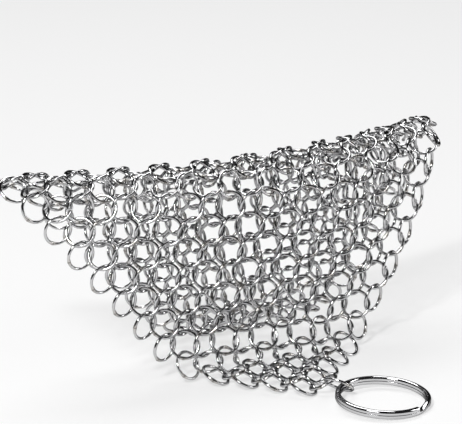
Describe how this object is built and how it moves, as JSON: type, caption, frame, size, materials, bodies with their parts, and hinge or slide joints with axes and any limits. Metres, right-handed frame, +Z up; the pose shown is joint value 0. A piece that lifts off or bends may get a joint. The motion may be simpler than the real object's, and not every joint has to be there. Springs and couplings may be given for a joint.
{
  "type": "chainmail pot scrubber",
  "caption": "Square sheet of interlinked welded steel rings for scouring pots, draped corner down, with a split ring on its corner for hanging up.",
  "frame": {"origin": "under the middle of the draped scrubber's box, on the surface that it stands on", "axes": "+Z up, X along the ridge of the drape, -Y to the front, where the corner with the split ring lies"},
  "size_m": [0.1714, 0.1188, 0.0673],
  "materials": {
    "ring_wire": "polished round wire",
    "split_ring_steel": "bright"
  },
  "bodies": {
    "mesh": {"mesh_row_03": "ring_wire", "mesh_row_04": "ring_wire", "mesh_row_05": "ring_wire", "mesh_row_06": "ring_wire", "mesh_row_07": "ring_wire", "mesh_row_08": "ring_wire", "mesh_row_09": "ring_wire", "mesh_row_10": "ring_wire", "mesh_row_11": "ring_wire", "mesh_row_12": "ring_wire", "mesh_row_13": "ring_wire", "mesh_row_14": "ring_wire", "mesh_row_15": "ring_wire", "mesh_row_16": "ring_wire", "mesh_row_17": "ring_wire", "mesh_row_18": "ring_wire", "mesh_row_19": "ring_wire", "mesh_row_20": "ring_wire", "mesh_row_21": "ring_wire", "mesh_row_22": "ring_wire", "mesh_row_23": "ring_wire", "mesh_row_24": "ring_wire", "mesh_row_25": "ring_wire", "mesh_row_26": "ring_wire"},
    "row_2": {"mesh_row_02": "ring_wire"},
    "row_1": {"mesh_row_01": "ring_wire"},
    "row_0": {"mesh_row_00": "ring_wire"},
    "connector": {"connector_ring": "ring_wire"},
    "split_ring": {"split_ring": "split_ring_steel"},
    "left_edge_05": {"left_edge_ring_05": "ring_wire"},
    "left_edge_06": {"left_edge_ring_06": "ring_wire"},
    "left_edge_07": {"left_edge_ring_07": "ring_wire"},
    "left_edge_08": {"left_edge_ring_08": "ring_wire"},
    "left_edge_09": {"left_edge_ring_09": "ring_wire"},
    "left_edge_10": {"left_edge_ring_10": "ring_wire"},
    "right_edge_05": {"right_edge_ring_05": "ring_wire"},
    "right_edge_06": {"right_edge_ring_06": "ring_wire"},
    "right_edge_07": {"right_edge_ring_07": "ring_wire"},
    "right_edge_08": {"right_edge_ring_08": "ring_wire"},
    "right_edge_09": {"right_edge_ring_09": "ring_wire"},
    "right_edge_10": {"right_edge_ring_10": "ring_wire"}
  },
  "joints": [
    {"name": "row_2_lift", "type": "hinge", "parent": "mesh", "child": "row_2", "pos_m": [-0.00291, -0.0075, 0.00254], "axis": [-0.9975, 0.0709, 0], "range_deg": [0, 25]},
    {"name": "row_1_lift", "type": "hinge", "parent": "row_2", "child": "row_1", "pos_m": [-0.00352, -0.01427, 0.00254], "axis": [-0.9975, 0.0709, 0], "range_deg": [0, 25]},
    {"name": "row_0_lift", "type": "hinge", "parent": "row_1", "child": "row_0", "pos_m": [-0.00412, -0.02097, 0.00254], "axis": [-0.9975, 0.0709, 0], "range_deg": [0, 25]},
    {"name": "connector_swing", "type": "hinge", "parent": "row_0", "child": "connector", "pos_m": [0.00257, -0.02887, 0.00375], "axis": [-0.9438, -0.1358, -0.3015], "range_deg": [0, 60]},
    {"name": "split_ring_swing", "type": "hinge", "parent": "connector", "child": "split_ring", "pos_m": [0.00551, -0.03197, 0.00298], "axis": [0.866, 0.5, 0], "range_deg": [-100, 0]},
    {"name": "left_edge_05_swing", "type": "hinge", "parent": "mesh", "child": "left_edge_05", "pos_m": [-0.03451, 0.00701, 0.01285], "axis": [0.3473, 0.7247, -0.5951], "range_deg": [0, 14]},
    {"name": "left_edge_06_swing", "type": "hinge", "parent": "mesh", "child": "left_edge_06", "pos_m": [-0.04027, 0.00809, 0.0214], "axis": [0.3064, 0.7405, -0.5982], "range_deg": [0, 12]},
    {"name": "left_edge_07_swing", "type": "hinge", "parent": "mesh", "child": "left_edge_07", "pos_m": [-0.04732, 0.01036, 0.02937], "axis": [0.4429, 0.5158, -0.7333], "range_deg": [0, 10]},
    {"name": "left_edge_08_swing", "type": "hinge", "parent": "mesh", "child": "left_edge_08", "pos_m": [-0.05361, 0.01256, 0.03755], "axis": [0.474, 0.4597, -0.751], "range_deg": [0, 12]},
    {"name": "left_edge_09_swing", "type": "hinge", "parent": "mesh", "child": "left_edge_09", "pos_m": [-0.05943, 0.01542, 0.04583], "axis": [0.5563, 0.4125, -0.7214], "range_deg": [-1, 18]},
    {"name": "left_edge_10_swing", "type": "hinge", "parent": "mesh", "child": "left_edge_10", "pos_m": [-0.06622, 0.01944, 0.05353], "axis": [0.6437, 0.3682, -0.6708], "range_deg": [0, 14]},
    {"name": "right_edge_05_swing", "type": "hinge", "parent": "mesh", "child": "right_edge_05", "pos_m": [0.0332, 0.00584, 0.00815], "axis": [0.8683, 0.4474, 0.2144], "range_deg": [0, 35]},
    {"name": "right_edge_06_swing", "type": "hinge", "parent": "mesh", "child": "right_edge_06", "pos_m": [0.04085, 0.00641, 0.01604], "axis": [0.6727, 0.2129, 0.7087], "range_deg": [0, 35]},
    {"name": "right_edge_07_swing", "type": "hinge", "parent": "mesh", "child": "right_edge_07", "pos_m": [0.04838, 0.00783, 0.02555], "axis": [0.7174, 0.0462, 0.6951], "range_deg": [-1, 35]},
    {"name": "right_edge_08_swing", "type": "hinge", "parent": "mesh", "child": "right_edge_08", "pos_m": [0.05476, 0.01002, 0.0363], "axis": [0.7218, 0.1326, 0.6793], "range_deg": [-1, 35]},
    {"name": "right_edge_09_swing", "type": "hinge", "parent": "mesh", "child": "right_edge_09", "pos_m": [0.06212, 0.01272, 0.04625], "axis": [0.7192, 0.233, 0.6546], "range_deg": [0, 35]},
    {"name": "right_edge_10_swing", "type": "hinge", "parent": "mesh", "child": "right_edge_10", "pos_m": [0.06853, 0.01609, 0.05616], "axis": [0.6403, 0.187, 0.745], "range_deg": [-5, 35]}
  ]
}
